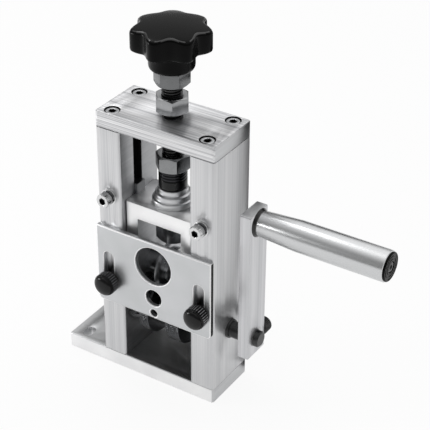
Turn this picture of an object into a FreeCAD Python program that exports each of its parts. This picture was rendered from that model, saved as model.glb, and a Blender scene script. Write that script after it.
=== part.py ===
import FreeCAD, Part
import math
import os

from FreeCAD import Vector

# A hand crank wire stripper. X runs along the drive shaft towards the crank, Y to the back, Z up.
# The origin is midway between the uprights, on the underside of the base. All sizes are in mm.

# ---- frame ----
frame_width = 80.0          # over both uprights
upright_thick = 16.5
plate_thick = 10.0          # base and top plate
base_tail = 27.0            # base plate past the left upright
corner_round = 1.8          # vertical corners of the plates and uprights
edge_break = 0.4            # small bevel on the sharp edges
foot_hole_width = 6.5
foot_hole_length = 9.5      # oblong, along Y
foot_hole_spacing = 22.8
foot_hole_inset = 9.5       # from the tail's end

# ---- M5 screws ----
m5_radius = 2.5
m5_head_radius = 4.25
m5_head_height = 5.0
m5_socket = 4.0             # across flats
m5_socket_depth = 2.6
m5_bevel = 0.5
counterbore_radius = 4.75
counterbore_depth = 5.4
bridge_screw_inset_y = 5.75
bridge_screw_length = 20.0
foot_screw_length = 24.0
foot_screw_head_radius = 4.6
foot_screw_sunk = 0.5       # head below the base's underside
foot_screw_rim = 0.9        # height of the head's rim
foot_screw_neck = 3.0       # height where the head's cone ends
foot_screw_socket = 3.0
foot_screw_socket_top = 2.4
sink_play = 0.1             # countersink round the head
screw_hole_spare = 1.5      # blind holes run past the screw's tip

# ---- front screws above the guide plate ----
front_screw_rise = 2.0      # above the block's top at rest
front_screw_length = 13.0
flat_washer_radius = 5.0
flat_washer_thick = 1.0
spring_washer_radius = 4.3
spring_washer_thick = 1.3
spring_washer_split = 0.9

# ---- drive ----
shaft_height = 44.6
shaft_radius = 5.0
shaft_stub = 3.3            # shaft past the crank arm
bearing_radius = 15.0
bearing_width = 9.0
bearing_race = 2.4          # wall of each ring
shield_inset = 0.6
shield_thick = 0.5
shield_gap = 0.6            # shield's edge to the inner ring
shield_seat = 0.1           # shield let into the outer ring
roller_radius = 8.5
wheel_radius = 18.5
wheel_gap = 0.75            # wheels to the disc's hub, sideways
left_wheel_width = 6.25
wheel_width = 9.35          # right wheel's rim
wheel_hub_wall = 4.0
wheel_hub_length = 7.0
wheel_bevel = 0.5
grub_radius = 2.0
grub_sunk = 0.3
grub_socket = 2.0
grub_socket_depth = 1.8
key_size = 3.0
key_inset = 2.0             # key's ends, in from the left wheel's end and the roller's
shaft_left_stub = 2.0       # shaft past the left bearing
shaft_left_room = 2.0       # hole past the shaft's left end
shaft_bevel = 0.8
spacer_wall = 2.0
outer_bush_wall = 0.84
outer_bush_proud = 1.4
outer_bush_bevel = 0.3

# ---- carriage ----
block_side_gap = 0.3        # block to upright, each side
block_inset = 4.0           # block's front behind the uprights' front
block_depth = 30.0
block_crown = 9.8
block_round = 1.0
block_under_axle = 7.0      # legs reach this far below the axle
window_clear = 16.4         # disc to the crown
window_width = 30.0
rail_width = 8.0            # guide slot in the uprights
rail_depth = 4.0
rail_centre_y = -1.7
rail_floor = 2.4            # slot's end above the bearing
rail_key_lift = 1.5         # key's foot above the legs' ends
rail_key_proud = 6.8        # key's top above the block
rail_key_inlay = 1.8        # sunk in the block's side
rail_screw_radius = 1.75
rail_screw_over_axle = 8.5
rail_screw_over_window = 1.8
rail_screw_bite = 1.5       # screw's tip to the window
rail_screw_sunk = 0.2
rail_screw_cone = 1.9       # height of the head's cone
rail_screw_flare = 1.7      # head's radius past the shank's
rail_screw_socket = 2.0
rail_screw_socket_depth = 1.4
carriage_lift = 13.0        # travel up from rest
lift_spare = 0.8            # lower nut to the bridge at the top of the travel

# ---- cutting disc ----
disc_radius = 18.3
disc_clear = 4.1            # disc to roller at rest
disc_thick = 3.0
disc_right = 0.0            # right face of the disc
disc_bevel = 2.2
disc_land = 0.2             # flat of the cutting edge
disc_front_gap = 0.7        # disc behind the uprights' front
axle_radius = 4.0
axle_ring_thick = 1.2
axle_ring_out = 1.6         # ring's radius past the axle's
axle_ring_in = 0.7          # groove's depth
axle_ring_gap = 1.6         # half the gap in the ring
axle_ring_inset = 1.6       # groove to the key's back
axle_end = 1.4              # axle past the groove
axle_pocket_depth = 2.0
axle_pocket_wall = 2.2      # pocket's radius past the axle's
hub_radius = 11.0
hub_right = 4.5
hub_left = 3.5
hub_step = 2.0
hub_shoulder = 3.0          # hub past the blade's seat
hub_bush_wall = 1.5
side_spacer_radius = 7.5

# ---- pressure screw ----
screw_radius = 6.0
nut_flats = 18.0
nut_height = 9.8
foot_nut_height = 14.4
lock_nut_gap = 3.5          # lock nut above the top plate
jam_nut_turn = -34.5
lock_nut_turn = 4.0
lower_nut_turn = 16.0
foot_nut_turn = -17.4
nut_space = 6.5             # lock nut to jam nut
stack_radius = 8.4
stack_ring_height = 6.4
stack_washer_count = 3
stack_washer_thick = 1.8
bush_flange_radius = 12.3
bush_height = 10.4
bush_spigot_radius = 8.0
bush_spigot_length = 6.0
screw_end = 1.0             # screw ends inside the foot nut
screw_bevel = 1.0
nut_bevel_angle = 30.0
nut_bevel_inset = 0.2       # round bevel inside the flats
bush_step_in = 1.6
bush_edge = 0.4
stack_step = 0.4            # small steps of the washers and the bush's neck

# ---- star knob ----
knob_hub_radius = 13.1
knob_lobe_radius = 23.3
knob_stem = 10.8            # hub below the lobes
knob_lobe_height = 14.0
knob_dome = 2.6
knob_lobes = 7
knob_valley_radius = 17.0
knob_scallop_radius = 9.0
knob_first_lobe = 121.6     # degrees
knob_bore_depth = 16.0
knob_bore_spare = 0.5
knob_lobe_round = 1.5
knob_foot_in = 1.5          # foot of the hub, tapered
knob_foot_rise = 2.4
knob_neck = 3.0             # cone from the hub to the lobes
knob_core_in = 1.0          # core inside the valleys
knob_dome_in = 6.0

# ---- guide plate ----
guide_gap = 0.1             # plate to the uprights' front
guide_thick = 3.0
guide_below_wire = 3.7      # lower edge below the roller's top
guide_height = 52.5
guide_corner = 3.0
hole_rises = (32.9, 10.7, -0.1)     # above the roller's top
hole_radii = (12.5, 5.5, 2.5)
slot_width = 6.8
slot_rise = 6.9             # slot's end above the roller's top
slot_length = 25.0

# ---- thumb screws ----
thumb_rise = 12.3           # above the roller's top
thumb_shift = 0.8           # studs stand right of the slots' middle
thumb_radius = 7.0
thumb_length = 8.0
thumb_dome = 1.2
thumb_washer_radius = 6.2
thumb_washer_thick = 0.6
thumb_stud_length = 15.0
thumb_dome_radius = 3.0     # flat middle of the dome
thumb_bevel = 0.6
thumb_front_bevel = 0.9

# ---- crank arm ----
arm_gap = 10.65             # right upright to the arm
arm_thick = 7.15
arm_width = 18.8
crank_throw = 80.4          # shaft to handle
arm_foot = 10.8             # arm's end below the shaft
arm_tip = 7.2               # arm's end above the handle
arm_round = 1.0
clamp_head_radius = 5.0
clamp_head_height = 7.0
clamp_radius = 3.0
clamp_socket = 5.0
clamp_socket_depth = 3.5
clamp_bevel = 0.6
clamp_back_off = 1.0        # tip stays off the shaft

# ---- handle ----
spindle_radius = 4.0
handle_washer_radius = 8.6
handle_washer_thick = 2.0
grip_end = 138.4
grip_small_radius = 7.6
grip_radius = 9.1
grip_taper_length = 24.0
grip_bore_radius = 5.6
grip_bush_length = 12.0
cap_radius = 8.2
cap_depth = 4.6
cap_proud = 1.4
cap_screw_radius = 2.0
cap_screw_head_radius = 2.9
cap_screw_head_height = 2.2
cap_screw_length = 12.0
cap_screw_socket = 2.5
cap_screw_socket_depth = 1.4
cap_recess = 0.5            # round the screw's head
cap_lip = 0.3               # cap over the grip's edge
cap_bevel = 0.4
cap_groove_step = 1.6
cap_groove_width = 0.6
spindle_tap_depth = 14.0
grip_bevel = 0.8
grip_end_bevel = 0.5
washer_bevel = 0.4
washer_cone = 1.2

# ---- fits ----
screw_play = 0.05           # screw in its own hole, same body
seat_play = 0.02            # pressed or seated round, same body
running_play = 0.06         # round that turns in a hole
slide_play = 0.15           # flat that slides
face_gap = 0.2              # flat faces of two bodies
past = 1.0                  # a cut runs this far past the face that it opens

# ---- derived places, across ----
half_width = frame_width / 2
half_depth = disc_radius + disc_front_gap
inner_x = half_width - upright_thick
column_mid = half_width - upright_thick / 2
bridge_screw_y = half_depth - bridge_screw_inset_y
outer_bush_radius = shaft_radius + running_play + outer_bush_wall
wheel_hub_radius = shaft_radius + wheel_hub_wall
roller_left = disc_right - disc_thick - hub_left - wheel_gap
left_wheel_left = roller_left - left_wheel_width
wheel_left = disc_right + hub_right + wheel_gap
arm_inner = half_width + arm_gap
arm_outer = arm_inner + arm_thick
shaft_end = arm_outer + shaft_stub
bearing_back = inner_x + bearing_width
block_half = inner_x - block_side_gap
block_front = -half_depth + block_inset
block_back = block_front + block_depth
guide_back = -half_depth - guide_gap
guide_front = guide_back - guide_thick
grip_start = arm_outer + handle_washer_thick + face_gap
cap_inner = grip_end - cap_depth
spindle_end = cap_inner - face_gap
cap_face = grip_end + cap_proud

# ---- derived heights, from the shaft up ----
wire_height = shaft_height + roller_radius
disc_height = wire_height + disc_clear + disc_radius
block_leg_bottom = disc_height - block_under_axle
window_top = disc_height + disc_radius + window_clear
block_top = window_top + block_crown
bush_top = block_top + bush_height
stack_bottom = bush_top + face_gap
ring_top = stack_bottom + stack_ring_height
lower_nut_bottom = ring_top + stack_washer_count * stack_washer_thick
bridge_bottom = lower_nut_bottom + nut_height + carriage_lift + lift_spare
frame_height = bridge_bottom + plate_thick
lock_nut_bottom = frame_height + lock_nut_gap
knob_bottom = lock_nut_bottom + nut_height + nut_space + nut_height
knob_lobe_bottom = knob_bottom + knob_stem
knob_lobe_top = knob_lobe_bottom + knob_lobe_height
foot_nut_bottom = window_top - face_gap - foot_nut_height
screw_foot = foot_nut_bottom + screw_end
rail_bottom = shaft_height + bearing_radius + rail_floor
rail_screw_heights = (disc_height + rail_screw_over_axle, window_top + rail_screw_over_window)
front_screw_height = block_top + front_screw_rise
guide_bottom = wire_height - guide_below_wire
guide_top = guide_bottom + guide_height
hole_heights = [wire_height + rise for rise in hole_rises]
slot_bottom = wire_height + slot_rise
slot_top = slot_bottom + slot_length
thumb_height = wire_height + thumb_rise
handle_height = shaft_height + crank_throw
arm_bottom = shaft_height - arm_foot
arm_top = handle_height + arm_tip

SIDES = (-1, 1)
DIRECTIONS = {"x": Vector(1, 0, 0), "y": Vector(0, 1, 0), "z": Vector(0, 0, 1)}


def place(axis, along, at):
    """The point that lies along an axis whose other two coordinates are at."""
    if axis == "x":
        return Vector(along, at[0], at[1])
    if axis == "y":
        return Vector(at[0], along, at[1])
    return Vector(at[0], at[1], along)


def block(x, y, z):
    low = Vector(min(x), min(y), min(z))
    return Part.makeBox(max(x) - min(x), max(y) - min(y), max(z) - min(z), low)


def bar(axis, radius, start, end, at=(0.0, 0.0)):
    """A round bar from start to end along an axis."""
    low = min(start, end)
    return Part.makeCylinder(radius, abs(end - start), place(axis, low, at), DIRECTIONS[axis])


def tube(axis, outer, inner, start, end, at=(0.0, 0.0)):
    return bar(axis, outer, start, end, at).cut(bar(axis, inner, start, end, at))


def turned(axis, profile, at=(0.0, 0.0)):
    """A lathe part: profile lists (place along the axis, radius) and closes on the axis."""
    outline = [(profile[0][0], 0.0)] + list(profile) + [(profile[-1][0], 0.0)]
    points = [Vector(radius, 0, along) for along, radius in outline]
    corners = [p for i, p in enumerate(points) if i == 0 or (p - points[i - 1]).Length > 1e-6]
    face = Part.Face(Part.makePolygon(corners + [corners[0]]))
    solid = face.revolve(Vector(0, 0, 0), Vector(0, 0, 1), 360)
    turn = FreeCAD.Rotation(Vector(0, 0, 1), DIRECTIONS[axis])
    solid.Placement = FreeCAD.Placement(place(axis, 0.0, at), turn)
    return solid


def hexagon(axis, flats, start, end, at=(0.0, 0.0), turn=0.0):
    """A six-sided bar with a corner at the angle turn."""
    reach = flats / math.sqrt(3)
    ring = []
    for k in range(7):
        angle = math.radians(turn + 60 * k)
        ring.append(Vector(reach * math.cos(angle), reach * math.sin(angle), 0))
    bar_shape = Part.Face(Part.makePolygon(ring)).extrude(Vector(0, 0, abs(end - start)))
    tilt = FreeCAD.Rotation(Vector(0, 0, 1), DIRECTIONS[axis])
    bar_shape.Placement = FreeCAD.Placement(place(axis, min(start, end), at), tilt)
    return bar_shape


def nut(bottom, height, turn, bore):
    """A hexagon nut on the pressure screw, with both faces chamfered round."""
    corner = nut_flats / math.sqrt(3)
    flat = nut_flats / 2 - nut_bevel_inset
    drop = (corner - flat) * math.tan(math.radians(nut_bevel_angle))
    top = bottom + height
    cone = turned("z", [(bottom, flat), (bottom + drop, corner), (top - drop, corner), (top, flat)])
    blank = hexagon("z", nut_flats, bottom, top, turn=turn).common(cone)
    return blank.cut(bar("z", bore, bottom - past, top + past))


def rounded(shape, radius, direction):
    """The straight edges along a direction, rounded."""
    edges = []
    for edge in shape.Edges:
        first, last = edge.Vertexes[0].Point, edge.Vertexes[-1].Point
        run = last - first
        if run.Length > 3 * radius and abs(run.normalize().dot(direction)) > 0.999:
            edges.append(edge)
    return shape.makeFillet(radius, edges)


def softened(shape, size):
    """The outer edges of the top and bottom faces, bevelled."""
    box = shape.BoundBox
    edges = []
    for edge in shape.Edges:
        flat = abs(edge.BoundBox.ZMax - edge.BoundBox.ZMin) < 1e-6
        on_face = min(abs(edge.BoundBox.ZMax - box.ZMax), abs(edge.BoundBox.ZMin - box.ZMin)) < 1e-6
        if flat and on_face:
            edges.append(edge)
    return shape.makeChamfer(size, edges)


def plate(x, y, z):
    """A flat bar with round vertical corners and bevelled faces."""
    return softened(rounded(block(x, y, z), corner_round, Vector(0, 0, 1)), edge_break)


def oblong(axis, width, low, high, across, start, end):
    """A round-ended slot from low to high, cut along an axis; across is its fixed coordinate."""
    half = width / 2
    if axis == "y":
        ends = [bar("y", half, start, end, (across, level)) for level in (low + half, high - half)]
        middle = block((across - half, across + half), (start, end), (low + half, high - half))
    else:
        ends = [bar("z", half, start, end, (across, level)) for level in (low + half, high - half)]
        middle = block((across - half, across + half), (low + half, high - half), (start, end))
    return middle.fuse(ends)


def cap_screw(axis, seat, sign, length, at):
    """An M5 socket head screw: the head stands on seat and points along sign times the axis."""
    top = seat + sign * m5_head_height
    tip = seat - sign * length
    bevel = sign * m5_bevel
    profile = [(tip, m5_radius - m5_bevel), (tip + bevel, m5_radius), (seat, m5_radius),
               (seat, m5_head_radius), (top - bevel, m5_head_radius), (top, m5_head_radius - m5_bevel)]
    socket = hexagon(axis, m5_socket, top, top - sign * m5_socket_depth, at)
    return turned(axis, profile, at).cut(socket)


def save(name, solids):
    """Writes one piece, or a group of like pieces, to its own file."""
    group = solids if isinstance(solids, list) else [solids]
    group = [piece.removeSplitter() for piece in group]
    shape = group[0] if len(group) == 1 else Part.makeCompound(group)
    shape.exportStep(os.path.join("parts", name + ".step"))
    volume = sum(solid.Volume for solid in shape.Solids)
    print(f"{name}: {len(shape.Solids)} solid(s), {volume / 1000:.2f} cm3")


def build_base():
    base = plate((-half_width - base_tail, half_width), (-half_depth, half_depth), (0, plate_thick))
    hole_x = -half_width - base_tail + foot_hole_inset
    for side in SIDES:
        middle = side * foot_hole_spacing / 2
        reach = foot_hole_length / 2
        base = base.cut(oblong("z", foot_hole_width, middle - reach, middle + reach, hole_x,
                               -past, plate_thick + past))
        for front in SIDES:
            at = (side * column_mid, front * bridge_screw_y)
            base = base.cut(bar("z", m5_radius + screw_play, -past, plate_thick + past, at))
            sink = turned("z", [(-sink_play, foot_screw_head_radius + 2 * sink_play),
                                (foot_screw_rim + sink_play, foot_screw_head_radius + sink_play),
                                (foot_screw_neck + sink_play, m5_radius + screw_play)], at)
            base = base.cut(sink)
    save("base_plate", base)


def build_upright(side, name):
    column = block((side * inner_x, side * half_width), (-half_depth, half_depth),
                   (plate_thick, bridge_bottom))
    column = rounded(column, corner_round, Vector(0, 0, 1))
    rail = block((side * (inner_x - past), side * (inner_x + rail_depth)),
                 (rail_centre_y - rail_width / 2, rail_centre_y + rail_width / 2),
                 (rail_bottom, bridge_bottom + past))
    column = column.cut(rail)
    at = (0.0, shaft_height)
    column = column.cut(bar("x", bearing_radius, side * (inner_x - past), side * bearing_back, at))
    if side > 0:
        through = bar("x", outer_bush_radius + seat_play, bearing_back - past, half_width + past, at)
    else:
        end = -bearing_back - shaft_left_stub - shaft_left_room
        through = bar("x", shaft_radius + spacer_wall, end, -bearing_back + past, at)
    column = column.cut(through)
    for front in SIDES:
        spot = (side * column_mid, front * bridge_screw_y)
        hole = m5_radius + screw_play
        depth = bridge_screw_length - (plate_thick - counterbore_depth) + past
        column = column.cut(bar("z", hole, bridge_bottom - depth, bridge_bottom + past, spot))
        column = column.cut(bar("z", hole, plate_thick - past, foot_screw_length + screw_hole_spare, spot))
    front_hole = bar("y", m5_radius + screw_play, -half_depth - past, -half_depth + front_screw_length,
                     (side * column_mid, front_screw_height))
    thumb_hole = bar("y", m5_radius + running_play, -half_depth - past,
                     guide_front + thumb_stud_length, (side * column_mid + thumb_shift, thumb_height))
    save(name, column.cut(front_hole).cut(thumb_hole))


def build_top_plate():
    bridge = plate((-half_width, half_width), (-half_depth, half_depth), (bridge_bottom, frame_height))
    bridge = bridge.cut(bar("z", screw_radius + running_play, bridge_bottom - past, frame_height + past))
    screws = []
    seat = frame_height - counterbore_depth
    for side in SIDES:
        for front in SIDES:
            at = (side * column_mid, front * bridge_screw_y)
            bridge = bridge.cut(bar("z", counterbore_radius, seat, frame_height + past, at))
            bridge = bridge.cut(bar("z", m5_radius + screw_play, bridge_bottom - past, frame_height, at))
            screws.append(cap_screw("z", seat, 1, bridge_screw_length, at))
    save("top_plate", bridge)
    save("top_plate_screws", screws)


def build_base_screws():
    screws = []
    for side in SIDES:
        for front in SIDES:
            at = (side * column_mid, front * bridge_screw_y)
            profile = [(foot_screw_sunk, foot_screw_head_radius), (foot_screw_rim, foot_screw_head_radius),
                       (foot_screw_neck, m5_radius), (foot_screw_length, m5_radius)]
            socket = hexagon("z", foot_screw_socket, 0, foot_screw_socket_top, at)
            screws.append(turned("z", profile, at).cut(socket))
    save("base_screws", screws)


def build_front_screws():
    flats, springs, screws = [], [], []
    for side in SIDES:
        at = (side * column_mid, front_screw_height)
        face = -half_depth
        spring_back = face - flat_washer_thick
        spring_front = spring_back - spring_washer_thick
        hole = m5_radius + screw_play
        flats.append(tube("y", flat_washer_radius, hole, face, spring_back, at))
        split = block((at[0], at[0] + spring_washer_split), (spring_front - past, spring_back + past),
                      (at[1], at[1] + flat_washer_radius))
        springs.append(tube("y", spring_washer_radius, hole, spring_back, spring_front, at).cut(split))
        screws.append(cap_screw("y", spring_front, -1, front_screw_length, at))
    save("front_flat_washers", flats)
    save("front_spring_washers", springs)
    save("front_cap_screws", screws)


def build_bearings():
    outer, inner = [], []
    at = (0.0, shaft_height)
    inner_ring_radius = shaft_radius + bearing_race
    for side in SIDES:
        near, far = side * inner_x, side * bearing_back
        race = tube("x", bearing_radius - seat_play, bearing_radius - bearing_race, near, far, at)
        shield_radius = inner_ring_radius + shield_gap
        for shield in (near + side * shield_inset, far - side * (shield_inset + shield_thick)):
            race = race.fuse(tube("x", bearing_radius - bearing_race + shield_seat, shield_radius,
                                  shield, shield + side * shield_thick, at))
        outer.append(race)
        inner.append(tube("x", inner_ring_radius, shaft_radius + seat_play, near, far, at))
    save("bearing_outer_rings", outer)
    save("bearing_inner_rings", inner)
    bush = turned("x", [(bearing_back, outer_bush_radius),
                        (half_width + outer_bush_proud - outer_bush_bevel, outer_bush_radius),
                        (half_width + outer_bush_proud, outer_bush_radius - outer_bush_bevel)], at)
    save("outer_bush", bush.cut(bar("x", shaft_radius + running_play, 0, arm_inner, at)))


def build_drive():
    at = (0.0, shaft_height)
    start = -bearing_back - shaft_left_stub
    shaft = turned("x", [(start, shaft_radius - shaft_bevel), (start + shaft_bevel, shaft_radius),
                         (shaft_end - shaft_bevel, shaft_radius), (shaft_end, shaft_radius - shaft_bevel)],
                   at)
    key_low = shaft_height + shaft_radius - key_size / 2
    key = block((left_wheel_left + key_inset, wheel_left - key_inset), (-key_size / 2, key_size / 2),
                (key_low, key_low + key_size))
    wheel_right = wheel_left + wheel_width
    hub_end = wheel_right + wheel_hub_length
    grub_at = (wheel_right + wheel_hub_length / 2, shaft_height)
    grub_head = -wheel_hub_radius + grub_sunk
    grub = bar("y", grub_radius, grub_head, -shaft_radius, grub_at)
    grub = grub.cut(hexagon("y", grub_socket, grub_head, grub_head + grub_socket_depth, grub_at))
    bore = bar("x", shaft_radius + seat_play, -half_width, half_width, at)
    roller = bar("x", roller_radius, roller_left, wheel_left, at).cut(bore).cut(key)
    edge = wheel_radius - wheel_bevel
    left_wheel = turned("x", [(left_wheel_left, edge), (left_wheel_left + wheel_bevel, wheel_radius),
                              (roller_left - wheel_bevel, wheel_radius), (roller_left, edge)], at)
    right_wheel = turned("x", [(wheel_left, edge), (wheel_left + wheel_bevel, wheel_radius),
                               (wheel_right - wheel_bevel, wheel_radius), (wheel_right, edge),
                               (wheel_right, wheel_hub_radius), (hub_end, wheel_hub_radius)], at)
    right_wheel = right_wheel.cut(bore).cut(bar("y", grub_radius + seat_play, -wheel_radius, 0, grub_at))
    spacers = [tube("x", shaft_radius + spacer_wall, shaft_radius + seat_play, -inner_x, left_wheel_left, at),
               tube("x", shaft_radius + spacer_wall, shaft_radius + seat_play, hub_end, inner_x, at)]
    save("drive_shaft", shaft.cut(key))
    save("roller_key", key)
    save("drive_roller", roller)
    save("left_wheel", left_wheel.cut(bore).cut(key))
    save("right_wheel", right_wheel)
    save("wheel_grub_screw", grub)
    save("shaft_spacers", spacers)


def build_carriage():
    frame_block = block((-block_half, block_half), (block_front, block_back),
                        (block_leg_bottom, block_top))
    frame_block = rounded(frame_block, block_round, Vector(0, 0, 1))
    half_window = window_width / 2
    window = block((-half_window, half_window), (block_front - past, block_back + past),
                   (block_leg_bottom - past, window_top))
    frame_block = frame_block.cut(window)
    axle_at = (0.0, disc_height)
    frame_block = frame_block.cut(bar("x", axle_radius + seat_play, -inner_x, inner_x, axle_at))
    frame_block = frame_block.cut(bar("z", bush_spigot_radius + seat_play,
                                      block_top - bush_spigot_length, block_top + past))
    frame_block = frame_block.cut(bar("z", screw_radius + running_play, window_top - past, block_top))
    key_y = (rail_centre_y - rail_width / 2 + slide_play, rail_centre_y + rail_width / 2 - slide_play)
    key_z = (block_leg_bottom + rail_key_lift, block_top + rail_key_proud)
    screws = []
    for side, name in zip(SIDES, ("left_key", "right_key")):
        deep, proud = side * (block_half - rail_key_inlay), side * (inner_x + rail_depth - slide_play)
        rail = block((deep, proud), key_y, key_z)
        frame_block = frame_block.cut(rail)
        # the pin's end and the rings lie in a pocket behind the key
        pocket = bar("x", axle_radius + axle_pocket_wall,
                     side * (block_half - rail_key_inlay - axle_pocket_depth),
                     side * (block_half - rail_key_inlay), axle_at)
        frame_block = frame_block.cut(pocket)
        for height in rail_screw_heights:
            spot = (rail_centre_y, height)
            tip = side * (half_window + rail_screw_bite)
            head = proud - side * rail_screw_sunk
            neck = head - side * rail_screw_cone
            head_radius = rail_screw_radius + rail_screw_flare
            screw = turned("x", [(tip, rail_screw_radius), (neck, rail_screw_radius), (head, head_radius)],
                           spot)
            rail = rail.cut(turned("x", [(tip, rail_screw_radius + seat_play),
                                         (neck, rail_screw_radius + seat_play),
                                         (head, head_radius + seat_play),
                                         (proud + side * past, head_radius + seat_play)], spot))
            frame_block = frame_block.cut(bar("x", rail_screw_radius + seat_play, tip, deep, spot))
            socket = hexagon("x", rail_screw_socket, head - side * rail_screw_socket_depth,
                             head + side * past, spot)
            screws.append(screw.cut(socket))
        save(name, rail)
    save("key_screws", screws)
    save("sliding_block", frame_block)

    groove = block_half - rail_key_inlay - axle_ring_inset
    axle = bar("x", axle_radius, -groove - axle_end, groove + axle_end, axle_at)
    groove_radius = axle_radius - axle_ring_in
    gap = block((-inner_x, inner_x), (-axle_ring_gap, axle_ring_gap), (block_leg_bottom, disc_height))
    rings = []
    for side in SIDES:
        near, far = side * groove, side * (groove + axle_ring_thick)
        axle = axle.cut(tube("x", axle_radius + past, groove_radius, near, far, axle_at))
        ring = tube("x", axle_radius + axle_ring_out, groove_radius + seat_play, near, far, axle_at)
        rings.append(ring.cut(gap))
    save("disc_axle", axle)
    save("axle_rings", rings)
    left_face = disc_right - disc_thick - hub_left
    right_face = disc_right + hub_right
    ends = {"left_spacer": (-half_window, left_face - face_gap),
            "right_spacer": (right_face + face_gap, half_window)}
    for name, (start, end) in ends.items():
        save(name, tube("x", side_spacer_radius, axle_radius + seat_play, start, end, axle_at))

    step = bush_height / 3
    middle_radius = bush_flange_radius - bush_step_in
    neck_radius = stack_radius + stack_step
    bush = turned("z", [(block_top - bush_spigot_length, bush_spigot_radius),
                        (block_top, bush_spigot_radius), (block_top, bush_flange_radius),
                        (block_top + step - bush_edge, bush_flange_radius),
                        (block_top + step, bush_flange_radius - bush_edge),
                        (block_top + step, middle_radius), (block_top + 2 * step, middle_radius),
                        (block_top + 2 * step, neck_radius), (bush_top, neck_radius)])
    save("flanged_bush", bush.cut(bar("z", screw_radius + running_play, window_top, bush_top + past)))


def build_disc():
    at = (0.0, disc_height)
    left, right = disc_right - disc_thick, disc_right
    hub_bore = axle_radius + hub_bush_wall
    middle = (left + right) / 2
    blade = turned("x", [(left, disc_radius - disc_bevel), (middle - disc_land / 2, disc_radius),
                         (middle + disc_land / 2, disc_radius), (right, disc_radius - disc_bevel)], at)
    seat = hub_radius - hub_shoulder
    save("cutting_disc", blade.cut(bar("x", seat + seat_play, -inner_x, inner_x, at)))
    step_at = right + hub_right - hub_step
    step_radius = hub_radius - hub_step
    hub = turned("x", [(left - hub_left, step_radius), (left, hub_radius - hub_step / 2), (left, seat),
                       (right, seat), (right, hub_radius), (step_at, hub_radius),
                       (step_at, step_radius), (right + hub_right, step_radius)], at)
    save("disc_hub", hub.cut(bar("x", hub_bore + seat_play, -inner_x, inner_x, at)))
    save("hub_bush", tube("x", hub_bore, axle_radius + running_play, left - hub_left,
                          right + hub_right, at))


def build_pressure_screw():
    top = knob_bottom + knob_bore_depth - knob_bore_spare
    save("pressure_screw", turned("z", [(screw_foot, screw_radius - screw_bevel),
                                        (screw_foot + screw_bevel, screw_radius),
                                        (top - screw_bevel, screw_radius),
                                        (top, screw_radius - screw_bevel)]))
    bore = screw_radius + seat_play
    save("jam_nut", nut(knob_bottom - nut_height, nut_height, jam_nut_turn, bore))
    save("lock_nut", nut(lock_nut_bottom, nut_height, lock_nut_turn, bore))
    save("lower_nut", nut(lower_nut_bottom, nut_height, lower_nut_turn, bore))
    save("foot_nut", nut(foot_nut_bottom, foot_nut_height, foot_nut_turn, bore))
    save("stack_ring", tube("z", stack_radius, bore, stack_bottom, ring_top))
    washers = []
    for k in range(stack_washer_count):
        low = ring_top + k * stack_washer_thick
        radius = stack_radius - stack_step if k == 0 else stack_radius
        washers.append(tube("z", radius, bore, low, low + stack_washer_thick))
    save("stack_washers", washers)


def build_knob():
    plan = bar("z", knob_lobe_radius, knob_lobe_bottom, knob_lobe_top)
    scallop_at = knob_valley_radius + knob_scallop_radius
    for k in range(knob_lobes):
        angle = math.radians(knob_first_lobe + (k + 0.5) * 360 / knob_lobes)
        spot = (scallop_at * math.cos(angle), scallop_at * math.sin(angle))
        plan = plan.cut(bar("z", knob_scallop_radius, knob_lobe_bottom - past, knob_lobe_top + past, spot))
    plan = rounded(plan, knob_lobe_round, Vector(0, 0, 1))
    core_radius = knob_valley_radius - knob_core_in
    hub = turned("z", [(knob_bottom, knob_hub_radius - knob_foot_in),
                       (knob_bottom + knob_foot_rise, knob_hub_radius),
                       (knob_lobe_bottom - knob_neck, knob_hub_radius),
                       (knob_lobe_bottom, core_radius), (knob_lobe_top, core_radius),
                       (knob_lobe_top + knob_dome, core_radius - knob_dome_in)])
    knob = hub.fuse(plan)
    bore = bar("z", screw_radius + seat_play, knob_bottom - past, knob_bottom + knob_bore_depth)
    save("star_knob", knob.cut(bore))


def build_guide():
    sheet = block((-half_width, half_width), (guide_front, guide_back), (guide_bottom, guide_top))
    corners = [edge for edge in sheet.Edges
               if abs(edge.BoundBox.YLength - guide_thick) < 1e-6 and edge.BoundBox.ZMax < slot_top]
    sheet = sheet.makeFillet(guide_corner, corners)
    for height, radius in zip(hole_heights, hole_radii):
        sheet = sheet.cut(bar("y", radius, guide_front - past, guide_back + past, (0.0, height)))
    for side in SIDES:
        sheet = sheet.cut(oblong("y", slot_width, slot_bottom, slot_top, side * column_mid,
                                 guide_front - past, guide_back + past))
    front_edges = [edge for edge in sheet.Edges
                   if abs(edge.BoundBox.YMax - guide_front) < 1e-6]
    save("guide_plate", sheet.makeChamfer(edge_break, front_edges))
    for side, name in zip(SIDES, ("left_thumb", "right_thumb")):
        at = (side * column_mid + thumb_shift, thumb_height)
        washer_back = guide_front - running_play
        head_back = washer_back - thumb_washer_thick
        head_front = head_back - thumb_length
        stud_tip = guide_front + thumb_stud_length - past
        save(name + "_washer", tube("y", thumb_washer_radius, m5_radius + seat_play,
                                    washer_back, head_back, at))
        save(name + "_screw", turned("y", [(stud_tip, m5_radius - m5_bevel),
                                           (stud_tip - m5_bevel, m5_radius),
                                           (head_back, m5_radius), (head_back, thumb_radius - thumb_bevel),
                                           (head_back - thumb_bevel, thumb_radius),
                                           (head_front + thumb_front_bevel, thumb_radius),
                                           (head_front, thumb_radius - thumb_front_bevel),
                                           (head_front - thumb_dome, thumb_dome_radius)], at))


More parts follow.
